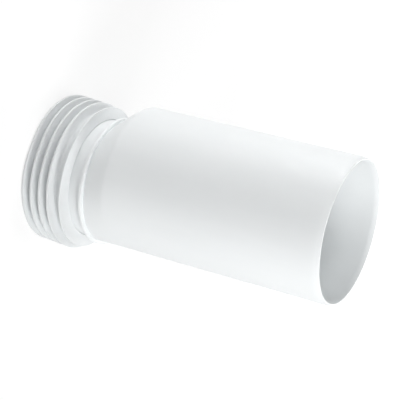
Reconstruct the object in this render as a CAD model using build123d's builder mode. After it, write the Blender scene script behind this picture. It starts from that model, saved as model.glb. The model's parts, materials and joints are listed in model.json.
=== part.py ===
"""Offset toilet extension: a moulded waste tube with an offset spigot, and the soft finned seal on it.

The part stands on its sealed end. The origin is on the seal's axis at its lower end face, +Z runs up to
the open socket, and the socket's axis lies to -X of the seal's axis.
"""

import os

from build123d import *

# Socket tube, open at the top
tube_radius = 55.0
tube_wall = 3.2
socket_depth = 176.0
mouth_taper = 0.9
mouth_taper_length = 4.5
mouth_lead_in = 0.8

# Offset shoulder between the socket tube and the spigot
axis_offset = 8.0
shoulder_length = 19.3
crease_depth = 2.8

# Rounded stop lip below the shoulder
lip_height = 4.2
lip_width = 3.0
lip_round = 1.2

# Spigot that carries the seal, with a snap bead near its end
spigot_radius = 46.0
spigot_wall = 3.2
bare_spigot_length = 10.1
spigot_end_recess = 1.5
bead_height = 1.2
bead_length = 4.0

# Finned seal
seal_length = 36.3
seal_clearance = 0.1
sleeve_wall = 4.0
seal_mouth_chamfer = 0.7
flange_radius = 55.8
flange_thickness = 4.2
flange_rim = 1.3
flange_bevel = 0.4
fin_count = 4
fin_radius = 59.2
fin_pitch = 7.58
fin_root_thickness = 4.0
fin_tip_thickness = 1.6
fin_tip_bevel = 0.4
fin_lean = 1.0

# Heights that follow from the lengths above
bead_top = spigot_end_recess + bead_length
flange_bottom = seal_length - flange_thickness
lip_bottom = seal_length + bare_spigot_length
lip_top = lip_bottom + lip_width
shoulder_top = lip_top + shoulder_length
mouth_height = shoulder_top + socket_depth

# Radii that follow from the walls and clearances above
socket_bore = tube_radius - tube_wall
spigot_bore = spigot_radius - spigot_wall
bead_radius = spigot_radius + bead_height
lip_radius = spigot_radius + lip_height
shoulder_foot_radius = lip_radius - crease_depth
seal_bore = spigot_radius + seal_clearance
snap_groove_radius = bead_radius + seal_clearance
sleeve_radius = seal_bore + sleeve_wall

socket_axis = Axis((-axis_offset, 0, 0), (0, 0, 1))
socket_section = Plane(origin=(-axis_offset, 0, 0), x_dir=(1, 0, 0), z_dir=(0, -1, 0))

with BuildPart() as extension_tube:
    # Offset shoulder, straight-sided from its foot on the spigot's axis to the tube on the socket's axis
    for foot_radius, top_radius, mode in (
        (shoulder_foot_radius, tube_radius, Mode.ADD),
        (spigot_bore, socket_bore, Mode.SUBTRACT),
    ):
        with BuildSketch(Plane.XY.offset(lip_top)):
            Circle(foot_radius)
        with BuildSketch(Plane.XY.offset(shoulder_top)):
            with Locations((-axis_offset, 0)):
                Circle(top_radius)
        loft(ruled=True, mode=mode)

    # Wall of the socket, tapered outside and eased inside at its mouth
    with BuildSketch(socket_section):
        with BuildLine():
            Polyline(
                (socket_bore, shoulder_top),
                (tube_radius, shoulder_top),
                (tube_radius, mouth_height - mouth_taper_length),
                (tube_radius - mouth_taper, mouth_height),
                (socket_bore + mouth_lead_in, mouth_height),
                (socket_bore, mouth_height - mouth_lead_in),
                close=True,
            )
        make_face()
    revolve(axis=socket_axis)

    # Wall of the spigot, with its snap bead and the stop lip
    with BuildSketch(Plane.XZ):
        with BuildLine():
            Polyline(
                (spigot_bore, spigot_end_recess),
                (spigot_radius, spigot_end_recess),
                (bead_radius, bead_top),
                (spigot_radius, bead_top),
                (spigot_radius, lip_bottom),
                (lip_radius, lip_bottom),
                (lip_radius, lip_top),
                (spigot_bore, lip_top),
                close=True,
            )
        section = make_face()
        fillet(section.vertices().filter_by(lambda v: abs(v.X - lip_radius) < 1e-6), lip_round)
    revolve(axis=Axis.Z)

with BuildPart() as finned_seal:
    with BuildSketch(Plane.XZ):
        # Sleeve with its cone-topped flange, and the groove inside that snaps over the spigot's bead
        with BuildLine():
            Polyline(
                (seal_bore, 0),
                (sleeve_radius, 0),
                (sleeve_radius, flange_bottom),
                (flange_radius, flange_bottom),
                (flange_radius, flange_bottom + flange_rim),
                (seal_bore + seal_mouth_chamfer, seal_length),
                (seal_bore, seal_length - seal_mouth_chamfer),
                (seal_bore, bead_top),
                (snap_groove_radius, bead_top),
                (seal_bore, spigot_end_recess),
                close=True,
            )
        section = make_face()
        chamfer(section.vertices().filter_by(lambda v: abs(v.X - flange_radius) < 1e-6), flange_bevel)
        # Fins that thin out and lean towards the socket
        for fin in range(fin_count):
            root = fin * fin_pitch
            tip = root + fin_lean
            with BuildLine():
                Polyline(
                    (sleeve_radius, root),
                    (fin_radius, tip),
                    (fin_radius, tip + fin_tip_thickness),
                    (sleeve_radius, root + fin_root_thickness),
                    close=True,
                )
            section = make_face()
            chamfer(section.vertices().filter_by(lambda v: abs(v.X - fin_radius) < 1e-6), fin_tip_bevel)
    revolve(axis=Axis.Z)

os.makedirs("parts", exist_ok=True)

extension_tube.part.label = "extension_tube"
export_step(extension_tube.part, "parts/extension_tube.step")

finned_seal.part.label = "finned_seal"
export_step(finned_seal.part, "parts/finned_seal.step")
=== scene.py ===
"""Looks of an offset toilet extension: a white moulded waste tube and the soft finned seal on its spigot.

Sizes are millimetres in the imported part's own frame, and become metres only where a mesh, material, lamp or
camera is made. The part stands on its sealed end, +Z runs up to the open socket, and the socket's axis lies
to -X of the seal's axis.
"""

import json
import logging
from dataclasses import dataclass
from enum import Enum
from typing import Any

import bpy
import numpy as np
from mathutils import Matrix, Vector
from numpy.typing import NDArray


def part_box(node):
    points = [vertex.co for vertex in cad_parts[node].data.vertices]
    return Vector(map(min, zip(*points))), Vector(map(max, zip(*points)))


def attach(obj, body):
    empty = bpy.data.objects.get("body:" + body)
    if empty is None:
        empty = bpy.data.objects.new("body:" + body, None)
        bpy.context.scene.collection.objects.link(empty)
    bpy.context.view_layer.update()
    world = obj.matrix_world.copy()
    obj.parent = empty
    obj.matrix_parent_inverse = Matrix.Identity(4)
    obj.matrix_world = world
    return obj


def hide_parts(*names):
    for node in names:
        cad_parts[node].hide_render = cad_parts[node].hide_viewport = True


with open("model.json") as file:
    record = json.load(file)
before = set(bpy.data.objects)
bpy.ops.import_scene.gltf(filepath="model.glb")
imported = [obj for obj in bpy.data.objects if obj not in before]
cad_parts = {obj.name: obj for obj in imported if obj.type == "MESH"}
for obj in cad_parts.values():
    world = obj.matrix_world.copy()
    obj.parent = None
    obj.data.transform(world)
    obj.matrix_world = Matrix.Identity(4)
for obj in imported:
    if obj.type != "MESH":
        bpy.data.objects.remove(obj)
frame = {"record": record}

Array = NDArray[np.float64]
Faces = NDArray[np.int32]
Triple = tuple[float, float, float]
Colour = tuple[float, float, float, float]

MM = 0.001
IMAGE_WIDTH_PX = 400
CLEAR_SHARE = 0.25

log = logging.getLogger("extension")


class Slot(Enum):
    """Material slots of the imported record."""

    TUBE = "tube_plastic"
    SEAL = "seal_rubber"


class SeenBy(Enum):
    """Rays to which the studio shows its plain white, by the name of the Light Path output."""

    CAMERA = "Is Camera Ray"
    GLOSS = "Is Glossy Ray"
    GLASS = "Is Transmission Ray"


@dataclass(frozen=True)
class Outline:
    """Closed outline of a turned wall, run up its outside and down its inside.

    Each corner is a radius, a height and a shift of the axis towards +X. Each cut is how far before and after
    its corner the rounding starts and ends.
    """

    corners: Array
    cuts: Array

    def rounded(self, steps: int) -> Array:
        """Outline with each corner B replaced by the parabola (1-t)^2 A + 2t(1-t) B + t^2 C.

        A and C lie one cut before and after B, on the runs that meet there, and t goes from 0 to 1.

        Args:
            steps: Points along each parabola.

        Returns:
            Points of the rounded outline, as rows of radius, height and shift.
        """
        back = np.roll(self.corners, 1, axis=0) - self.corners
        ahead = np.roll(self.corners, -1, axis=0) - self.corners
        start = self.corners + back * (self.cuts / np.linalg.norm(back, axis=1))[:, None]
        end = self.corners + ahead * (self.cuts / np.linalg.norm(ahead, axis=1))[:, None]
        t = np.linspace(0, 1, steps)[None, :, None]
        arcs = (1 - t) ** 2 * start[:, None] + 2 * t * (1 - t) * self.corners[:, None] + t**2 * end[:, None]
        return arcs.reshape(-1, 3)

    def stations(self, steps: int, spacing: float) -> Array:
        """Rounded outline with even stations added along its straight runs.

        The length run so far is the sum of the distances between points. Each station is read from the points
        by that length. An even station that isn't clear of a point by a share of the spacing is left out.

        Args:
            steps: Points along each corner's parabola.
            spacing: Distance between the even stations.

        Returns:
            Stations as rows of radius, height and shift.
        """
        points = self.rounded(steps)
        points = np.vstack([points, points[:1]])
        run = np.concatenate([[0.0], np.cumsum(np.linalg.norm(np.diff(points, axis=0), axis=1))])
        even = np.arange(0, run[-1], spacing)
        clear = np.abs(even[:, None] - run).min(axis=1) > CLEAR_SHARE * spacing
        marks = np.sort(np.concatenate([run[:-1], even[clear]]))
        return np.stack([np.interp(marks, run, channel) for channel in points.T], axis=1)


def turned_wall(stations: Array, turns: int) -> Array:
    """Grid of points of a wall turned about an axis that may shift from station to station.

    At angle v, x is the shift plus the radius times cos v, y is the radius times sin v and z is the height.

    Args:
        stations: Rows of radius, height and shift.
        turns: Points round each station.

    Returns:
        Points in a grid of stations by turns.
    """
    angle = np.arange(turns) * (2 * np.pi / turns)
    radius, height, shift = stations.T[:, :, None]
    x, y = shift + radius * np.cos(angle), radius * np.sin(angle)
    return np.stack(np.broadcast_arrays(x, y, height), axis=-1)


def squared_share(value: Array, low: float, high: float) -> Array:
    """Square of the share of the way from low to high, held between 0 and 1."""
    return np.clip((value - low) / (high - low), 0, 1) ** 2


def closed_faces(rows: int, turns: int) -> Faces:
    """Quads of a grid that closes on itself both ways, with their normals turned out of the wall.

    Args:
        rows: Stations of the grid.
        turns: Points round each station.

    Returns:
        Rows of four point numbers.
    """
    here = np.arange(rows * turns, dtype=np.int32).reshape(rows, turns)
    beside = np.roll(here, -1, axis=1)
    quads = np.stack([here, beside, np.roll(beside, -1, axis=0), np.roll(here, -1, axis=0)], axis=-1)
    return quads.reshape(-1, 4)


def add_piece(name: str, points: Array, faces: Faces) -> bpy.types.Object:
    """Puts a smooth mesh of quads into the scene, with its place in its points.

    Args:
        name: Name of the object and its mesh.
        points: Points in millimetres, in any grid.
        faces: Rows of four point numbers.

    Returns:
        The new object.
    """
    mesh = bpy.data.meshes.new(name)
    places = points.reshape(-1, 3) * MM
    mesh.vertices.add(len(places))
    mesh.vertices.foreach_set("co", places.astype(np.float32).ravel())
    mesh.loops.add(faces.size)
    mesh.loops.foreach_set("vertex_index", faces.ravel())
    mesh.polygons.add(len(faces))
    mesh.polygons.foreach_set("loop_start", np.arange(0, faces.size, faces.shape[1], dtype=np.int32))
    mesh.update(calc_edges=True)
    mesh.shade_smooth()
    piece = bpy.data.objects.new(name, mesh)
    bpy.context.scene.collection.objects.link(piece)
    return piece


def grey(level: float) -> Colour:
    """Opaque grey of one level, where 1 is white."""
    return (level, level, level, 1.0)


class NodeSheet:
    """Shader nodes of one material or world, added and joined by name."""

    def __init__(self, owner: bpy.types.Material | bpy.types.World) -> None:
        """Starts the owner on an empty sheet."""
        owner.use_nodes = True
        self.tree = owner.node_tree
        self.tree.nodes.clear()

    def add(self, kind: str, values: dict[str | int, Any] | None = None, **settings: Any) -> bpy.types.Node:
        """Adds a node.

        Args:
            kind: Blender's name of the node's type, without ShaderNode.
            values: Value of each input by its name or number. A socket given here is joined instead.
            settings: Properties of the node itself.

        Returns:
            The new node.
        """
        node = self.tree.nodes.new("ShaderNode" + kind)
        for key, value in settings.items():
            setattr(node, key, value)
        for key, value in (values or {}).items():
            if isinstance(value, bpy.types.NodeSocket):
                self.tree.links.new(value, node.inputs[key])
            else:
                node.inputs[key].default_value = value
        return node

    def ranged(
        self, value: bpy.types.NodeSocket, band: tuple[float, float], to: tuple[float, float]
    ) -> bpy.types.NodeSocket:
        """Maps a band of a value evenly to another range, and holds it there beyond the band.

        Args:
            value: Socket of the value.
            band: Lowest and highest value of the band.
            to: What the two ends of the band become.

        Returns:
            Socket of the mapped value.
        """
        keys = ("From Min", "From Max", "To Min", "To Max")
        return self.add("MapRange", {"Value": value, **dict(zip(keys, (*band, *to)))}).outputs["Result"]

    def white_rays(self) -> bpy.types.NodeSocket:
        """Socket that is 1 for the rays that see the studio's plain white, and 0 for the rest."""
        path = self.add("LightPath")
        camera, gloss, glass = (path.outputs[ray.value] for ray in SeenBy)
        either = self.add("Math", {0: camera, 1: gloss}, operation="MAXIMUM")
        return self.add("Math", {0: either.outputs[0], 1: glass}, operation="MAXIMUM").outputs[0]


@dataclass(frozen=True)
class MouldedFinish:
    """Pale moulded plastic or rubber: a faintly clouded colour, uneven gloss and a fine skin.

    Sizes are in millimetres. Drawn is how many times longer the clouds run along the tube than across it. The
    tint runs from cloud to plain colour over the tint band of the clouds' pattern, and the roughness over the
    gloss band.
    """

    slot: Slot
    colour: Triple
    cloud_colour: Triple
    cloud_size: float
    drawn: float
    roughness: tuple[float, float]
    skin_size: float
    skin_depth: float
    ior: float
    tint_band: tuple[float, float] = (0.3, 0.6)
    gloss_band: tuple[float, float] = (0.3, 0.7)
    cloud_detail: float = 3.0
    cloud_grain: float = 0.55
    skin_detail: float = 2.0

    def material(self) -> bpy.types.Material:
        """Material of the finish, with its patterns on Object coordinates.

        Returns:
            A new material that is named for its slot.
        """
        made = bpy.data.materials.new(self.slot.value)
        sheet = NodeSheet(made)
        place = sheet.add("TexCoord").outputs["Object"]
        along = sheet.add("Mapping", {"Vector": place, "Scale": (1, 1, 1 / self.drawn)})
        cloud = sheet.add(
            "TexNoise",
            {
                "Vector": along.outputs[0],
                "Scale": 1 / (self.cloud_size * MM),
                "Detail": self.cloud_detail,
                "Roughness": self.cloud_grain,
            },
        ).outputs["Fac"]
        tint = sheet.add("ValToRGB", {"Fac": cloud})
        colours = (self.cloud_colour, self.colour)
        for stop, position, colour in zip(tint.color_ramp.elements, self.tint_band, colours):
            stop.position = position
            stop.color = (*colour, 1)
        gloss = sheet.ranged(cloud, self.gloss_band, self.roughness)
        skin = sheet.add(
            "TexNoise",
            {"Vector": place, "Scale": 1 / (self.skin_size * MM), "Detail": self.skin_detail},
        )
        bump = sheet.add(
            "Bump",
            {"Height": skin.outputs["Fac"], "Distance": self.skin_depth * MM, "Strength": 1.0},
        )
        surface = sheet.add(
            "BsdfPrincipled",
            {
                "Base Color": tint.outputs["Color"],
                "Roughness": gloss,
                "Normal": bump.outputs["Normal"],
                "IOR": self.ior,
            },
        )
        sheet.add("OutputMaterial", {"Surface": surface.outputs[0]})
        return made


WHITE_PLASTIC = MouldedFinish(
    slot=Slot.TUBE,
    colour=(0.86, 0.882, 0.888),
    cloud_colour=(0.845, 0.868, 0.875),
    cloud_size=18.0,
    drawn=6.0,
    roughness=(0.46, 0.56),
    skin_size=0.5,
    skin_depth=0.006,
    ior=1.49,
)
SOFT_RUBBER = MouldedFinish(
    slot=Slot.SEAL,
    colour=(0.805, 0.824, 0.83),
    cloud_colour=(0.784, 0.804, 0.811),
    cloud_size=9.0,
    drawn=1.0,
    roughness=(0.55, 0.66),
    skin_size=0.35,
    skin_depth=0.012,
    ior=1.45,
)


def mounts_by_name() -> dict[str, dict[str, Any]]:
    """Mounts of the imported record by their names."""
    return {mount["name"]: mount for mount in frame["record"]["mounts"]}


@dataclass(frozen=True)
class ExtensionTube:
    """Socket tube, offset shoulder, stop lip and spigot, moulded in one."""

    tube_radius: float
    mouth_height: float
    socket_bore: float
    socket_floor: float
    axis_offset: float
    lip_radius: float
    lip_top: float
    spigot_bore: float
    spigot_end: float
    spigot_wall: float = 3.2
    lip_width: float = 3.0
    lip_round: float = 1.2
    crease_depth: float = 2.8
    crease_round: float = 0.15
    shoulder_bend: float = 2.5
    bead_height: float = 1.2
    bead_length: float = 4.0
    mouth_taper: float = 0.9
    mouth_taper_length: float = 4.5
    taper_bend: float = 2.4
    mouth_lead_in: float = 1.2
    lead_in_length: float = 2.6
    lead_in_bend: float = 2.1
    mouth_round: float = 0.5
    edge_round: float = 0.4
    arc_steps: int = 7
    spacing: float = 3.0
    turns: int = 216

    @classmethod
    def from_frame(cls) -> "ExtensionTube":
        """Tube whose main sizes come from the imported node's box and the two stated bores.

        Returns:
            The tube with its small sizes at their usual values.
        """
        low, high = (np.array(corner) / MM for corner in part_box("extension_tube"))
        socket, waterway = (mounts_by_name()[name] for name in ("socket", "waterway"))
        return cls(
            tube_radius=high[1],
            mouth_height=high[2],
            socket_bore=socket["dims"]["r_mm"],
            socket_floor=socket["pos_m"][2] / MM - socket["dims"]["length_mm"],
            axis_offset=socket["pos_m"][0] / MM,
            lip_radius=high[0],
            lip_top=waterway["pos_m"][2] / MM + waterway["dims"]["length_mm"],
            spigot_bore=waterway["dims"]["r_mm"],
            spigot_end=low[2],
        )

    @property
    def spigot_radius(self) -> float:
        """Outside radius of the spigot."""
        return self.spigot_bore + self.spigot_wall

    def outline(self) -> Outline:
        """Wall of the tube: up the spigot, lip, shoulder and socket outside, over the mouth and down inside.

        Returns:
            The closed outline with the rounding of each corner.
        """
        shift = self.axis_offset
        bead_top = self.spigot_end + self.bead_length
        lip_bottom = self.lip_top - self.lip_width
        edge = self.edge_round
        rows = np.array(
            [
                (self.spigot_bore, self.spigot_end, 0, edge),
                (self.spigot_radius, self.spigot_end, 0, edge),
                (self.spigot_radius + self.bead_height, bead_top, 0, edge),
                (self.spigot_radius, bead_top, 0, edge),
                (self.spigot_radius, lip_bottom, 0, 2 * edge),
                (self.lip_radius, lip_bottom, 0, self.lip_round),
                (self.lip_radius, self.lip_top, 0, self.lip_round),
                (self.lip_radius - self.crease_depth, self.lip_top, 0, self.crease_round),
                (self.tube_radius, self.socket_floor, shift, self.shoulder_bend),
                (self.tube_radius, self.mouth_height - self.mouth_taper_length, shift, self.taper_bend),
                (self.tube_radius - self.mouth_taper, self.mouth_height, shift, self.mouth_round),
                (self.socket_bore + self.mouth_lead_in, self.mouth_height, shift, self.mouth_round),
                (self.socket_bore, self.mouth_height - self.lead_in_length, shift, self.lead_in_bend),
                (self.socket_bore, self.socket_floor, shift, 2 * self.shoulder_bend),
                (self.spigot_bore, self.lip_top, 0, self.shoulder_bend),
            ]
        )
        return Outline(rows[:, :3], rows[:, 3])

    def build(self) -> bpy.types.Object:
        """Makes the tube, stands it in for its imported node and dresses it.

        Returns:
            The finished piece.
        """
        stations = self.outline().stations(self.arc_steps, self.spacing)
        wall = turned_wall(stations, self.turns)
        piece = add_piece("moulded_tube", wall, closed_faces(len(stations), self.turns))
        return stand_in(piece, "extension_tube", WHITE_PLASTIC)


@dataclass(frozen=True)
class FinnedSeal:
    """Soft sleeve over the spigot, with a cone-topped flange and a row of thin-edged fins."""

    fin_radius: float
    length: float
    bore: float
    snap_start: float
    snap_height: float
    snap_length: float
    sleeve_wall: float = 4.0
    mouth_bevel: float = 0.7
    flange_radius: float = 55.8
    flange_thickness: float = 4.2
    flange_rim: float = 1.3
    flange_round: float = 0.45
    fin_count: int = 4
    fin_pitch: float = 7.58
    fin_root: float = 4.0
    fin_tip: float = 1.6
    fin_lean: float = 1.0
    fin_round: float = 0.5
    root_round: float = 1.7
    edge_round: float = 0.4
    skew: float = 0.9
    dent: float = 1.6
    dent_angle_deg: float = -107.0
    dent_width_deg: float = 17.0
    ripple: float = 0.12
    ripple_waves: int = 2
    ripple_phase: float = 1.9
    flange_lift: float = 1.6
    lift_angle_deg: float = -130.0
    lift_run: float = 3.0
    arc_steps: int = 7
    spacing: float = 1.6
    turns: int = 288

    @classmethod
    def from_frame(cls, tube: ExtensionTube, clearance: float = 0.1) -> "FinnedSeal":
        """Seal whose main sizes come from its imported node's box and from the spigot that it sits on.

        Args:
            tube: Tube that carries the seal.
            clearance: Gap between the spigot and the seal's bore.

        Returns:
            The seal with its small sizes at their usual values.
        """
        high = np.array(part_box("finned_seal")[1]) / MM
        return cls(
            fin_radius=high[1],
            length=high[2],
            bore=tube.spigot_radius + clearance,
            snap_start=tube.spigot_end,
            snap_height=tube.bead_height,
            snap_length=tube.bead_length,
        )

    @property
    def sleeve_radius(self) -> float:
        """Outside radius of the sleeve between the fins."""
        return self.bore + self.sleeve_wall

    @property
    def flange_foot(self) -> float:
        """Height of the flange's lower face."""
        return self.length - self.flange_thickness

    def outline(self) -> Outline:
        """Section of the seal: up over the fins and the flange, and down the bore with its snap groove.

        One fin is four corners, and the fins are that fin moved up by whole pitches.

        Returns:
            The closed outline with the rounding of each corner.
        """
        sleeve = self.sleeve_radius
        fin = np.array(
            [
                (sleeve, 0, 0, self.root_round),
                (self.fin_radius, self.fin_lean, 0, self.fin_round),
                (self.fin_radius, self.fin_lean + self.fin_tip, 0, self.fin_round),
                (sleeve, self.fin_root, 0, self.root_round),
            ]
        )
        steps_up = np.arange(self.fin_count)[:, None, None] * np.array([0, self.fin_pitch, 0, 0])
        fins = (fin + steps_up).reshape(-1, 4)
        fins[0, 3] = self.edge_round
        snap_top = self.snap_start + self.snap_length
        rest = np.array(
            [
                (sleeve, self.flange_foot, 0, self.root_round),
                (self.flange_radius, self.flange_foot, 0, self.flange_round),
                (self.flange_radius, self.flange_foot + self.flange_rim, 0, self.flange_round),
                (self.bore + self.mouth_bevel, self.length, 0, self.edge_round),
                (self.bore, self.length - self.mouth_bevel, 0, self.edge_round),
                (self.bore, snap_top, 0, self.edge_round),
                (self.bore + self.snap_height, snap_top, 0, self.edge_round),
                (self.bore, self.snap_start, 0, self.edge_round),
                (self.bore, 0, 0, self.edge_round),
            ]
        )
        rows = np.vstack([fins, rest])
        return Outline(rows[:, :3], rows[:, 3])

    def softened(self, wall: Array) -> Array:
        """Wall with the uneven set of soft rubber, which grows with the square of the way out to each edge.

        On the fins, with w as that square and h as 1 less twice the share of the fin row's length, the radius
        loses w times the sum of skew times (1 + h cos v), which sets the row of fins askew, and of dent times
        (1 + h) / 2 times exp(-(d / dent width)^2), where d is the angle from the dent. The height loses w
        times ripple times (1 + sin(waves v + a phase of each fin)) / 2. On the flange, with f as that square
        from the bore to its rim, the height gains f times lift times the cosine of the angle from the lift.
        The lift fades out over its run below the flange, and no point rises above the seal's own length.

        Args:
            wall: Points of the turned wall about the seal's axis.

        Returns:
            The points, which stay in the wall's own box.
        """
        x, y, z = np.moveaxis(wall, -1, 0)
        radius = np.hypot(x, y)
        angle = np.arctan2(y, x)
        on_flange = np.clip((z - self.flange_foot) / self.lift_run + 1, 0, 1)
        out = squared_share(radius, self.sleeve_radius, self.fin_radius) * (1 - on_flange)
        rim = squared_share(radius, self.bore, self.flange_radius) * on_flange
        lift = self.flange_lift * rim * np.cos(angle - np.radians(self.lift_angle_deg))
        share = np.clip(1 - 2 * z / (self.fin_count * self.fin_pitch), -1, 1)
        from_dent = (np.degrees(angle) - self.dent_angle_deg + 180) % 360 - 180
        dent = self.dent * (1 + share) / 2 * np.exp(-((from_dent / self.dent_width_deg) ** 2))
        phase = self.ripple_phase * np.floor(z / self.fin_pitch)
        wave = (1 + np.sin(self.ripple_waves * angle + phase)) / 2
        shrink = 1 - out * (self.skew * (1 + share * np.cos(angle)) + dent) / radius
        height = np.minimum(z - self.ripple * out * wave + lift, self.length)
        return np.stack([x * shrink, y * shrink, height], axis=-1)

    def build(self) -> bpy.types.Object:
        """Makes the seal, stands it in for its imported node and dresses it.

        Returns:
            The finished piece.
        """
        stations = self.outline().stations(self.arc_steps, self.spacing)
        wall = self.softened(turned_wall(stations, self.turns))
        piece = add_piece("soft_finned_seal", wall, closed_faces(len(stations), self.turns))
        return stand_in(piece, "finned_seal", SOFT_RUBBER)


def stand_in(piece: bpy.types.Object, node: str, finish: MouldedFinish) -> bpy.types.Object:
    """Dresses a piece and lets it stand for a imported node.

    Args:
        piece: Piece with its final mesh.
        node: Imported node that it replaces.
        finish: Finish of the piece.

    Returns:
        The same piece.
    """
    piece.data.materials.append(finish.material())
    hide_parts(node)
    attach(piece, "root")
    return piece


@dataclass(frozen=True)
class Softbox:
    """Soft lamp. Its place, aim, width and height are in millimetres, and its power in watts."""

    name: str
    place: Triple
    power: float
    aim: Triple = (0.0, 0.0, 140.0)
    width: float = 500.0
    height: float = 500.0

    def build(self) -> bpy.types.Object:
        """Makes the lamp and turns it to its aim.

        Returns:
            The lamp.
        """
        data = bpy.data.lights.new(self.name, "AREA")
        data.shape = "RECTANGLE"
        data.size, data.size_y = self.width * MM, self.height * MM
        data.energy = self.power
        lamp = bpy.data.objects.new(self.name, data)
        lamp.location = Vector(self.place) * MM
        lamp.rotation_euler = (Vector(self.aim) - Vector(self.place)).to_track_quat("-Z", "Y").to_euler()
        bpy.context.scene.collection.objects.link(lamp)
        return lamp


@dataclass(frozen=True)
class Studio:
    """Plain white floor and surroundings, with soft lamps all round the standing tube."""

    floor_side: float = 8000.0
    floor_drop: float = 0.1
    floor_glow: float = 0.76
    floor_shade: float = 0.26
    fade_start: float = 300.0
    fade_end: float = 800.0
    floor_bounce: float = 0.8
    fill: float = 0.02
    lamps: tuple[Softbox, ...] = (
        Softbox("key_lamp", (623.0, -360.0, 835.0), power=5.9),
        Softbox("front_lamp", (0.0, -848.0, 670.0), power=2.9),
        Softbox("right_lamp", (848.0, 0.0, 670.0), power=1.8),
        Softbox("back_lamp", (0.0, 848.0, 670.0), power=4.3),
        Softbox("left_lamp", (-848.0, 0.0, 670.0), power=2.3),
        Softbox("low_left_lamp", (-1000.0, 0.0, 135.0), power=4.4, height=200.0),
    )

    def build_floor(self) -> bpy.types.Object:
        """Makes the floor, which shows white with a faint shadow and throws back plain white light.

        It is a flat square of one quad, x and y each half a side either way, and z a hair below zero so that
        it doesn't share a plane with the seal's end. Its own glow rises to plain white with the distance from
        the part.

        Returns:
            The floor.
        """
        half = self.floor_side / 2
        x, y = np.meshgrid((-half, half), (-half, half))
        points = np.stack([x, y, np.full_like(x, -self.floor_drop)], axis=-1)
        floor = add_piece("floor", points, np.array([(0, 1, 3, 2)], dtype=np.int32))
        made = bpy.data.materials.new("studio_floor")
        sheet = NodeSheet(made)
        place = sheet.add("TexCoord").outputs["Object"]
        away = sheet.add("VectorMath", {0: place}, operation="LENGTH").outputs["Value"]
        fade = sheet.ranged(away, (self.fade_start * MM, self.fade_end * MM), (self.floor_glow, 1.0))
        glow = sheet.add("Emission", {"Color": grey(1.0), "Strength": fade})
        shade = sheet.add("BsdfDiffuse", {"Color": grey(self.floor_shade)})
        shown = sheet.add("AddShader", {0: glow.outputs[0], 1: shade.outputs[0]})
        bounce = sheet.add("BsdfDiffuse", {"Color": grey(self.floor_bounce)})
        mixed = sheet.add("MixShader", {0: sheet.white_rays(), 1: bounce.outputs[0], 2: shown.outputs[0]})
        sheet.add("OutputMaterial", {"Surface": mixed.outputs[0]})
        floor.data.materials.append(made)
        return floor

    def build_world(self) -> bpy.types.World:
        """Makes the surroundings, which show white and fill with a weaker even light.

        Returns:
            The scene's world.
        """
        world = bpy.data.worlds.new("studio_surroundings")
        sheet = NodeSheet(world)
        fill = sheet.add("Background", {"Color": grey(1.0), "Strength": self.fill})
        white = sheet.add("Background", {"Color": grey(1.0), "Strength": 1.0})
        mixed = sheet.add("MixShader", {0: sheet.white_rays(), 1: fill.outputs[0], 2: white.outputs[0]})
        sheet.add("OutputWorld", {"Surface": mixed.outputs[0]})
        bpy.context.scene.world = world
        return world

    def build(self) -> None:
        """Makes the floor, the surroundings and the lamps."""
        self.build_floor()
        self.build_world()
        for lamp in self.lamps:
            log.info("lamp %s", lamp.build().name)


@dataclass(frozen=True)
class PhotoCamera:
    """Camera rolled on its side, so that the standing tube lies across the picture as in the photograph.

    Its place is in millimetres, right and up are the picture's directions in the part's frame, and its focal
    length is in pixels of the picture.
    """

    place: Triple = (-105.06, -910.15, 554.6)
    right: Triple = (-0.2072, 0.4381, 0.8747)
    up: Triple = (-0.9731, 0.0, -0.2305)
    focal_px: float = 1345.0

    def build(self) -> bpy.types.Object:
        """Makes the camera and sets it as the scene's.

        Returns:
            The camera.
        """
        data = bpy.data.cameras.new("photo_camera")
        data.lens = self.focal_px / IMAGE_WIDTH_PX * data.sensor_width
        camera = bpy.data.objects.new("photo_camera", data)
        right = Vector(self.right).normalized()
        back = right.cross(Vector(self.up)).normalized()
        turn = Matrix((right, back.cross(right), back)).transposed()
        camera.matrix_world = Matrix.Translation(Vector(self.place) * MM) @ turn.to_4x4()
        bpy.context.scene.collection.objects.link(camera)
        bpy.context.scene.camera = camera
        return camera


def main() -> None:
    """Builds the pieces, the studio and the camera in order, and reports each piece."""
    logging.basicConfig(level=logging.INFO, format="%(name)s: %(message)s")
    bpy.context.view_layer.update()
    tube = ExtensionTube.from_frame()
    seal = FinnedSeal.from_frame(tube)
    for piece in (tube.build(), seal.build()):
        log.info("piece %s: %d faces", piece.name, len(piece.data.polygons))
    Studio().build()
    log.info("camera %s", PhotoCamera().build().name)
    bpy.context.scene.view_settings.view_transform = "Standard"


if __name__ == "__main__":
    main()
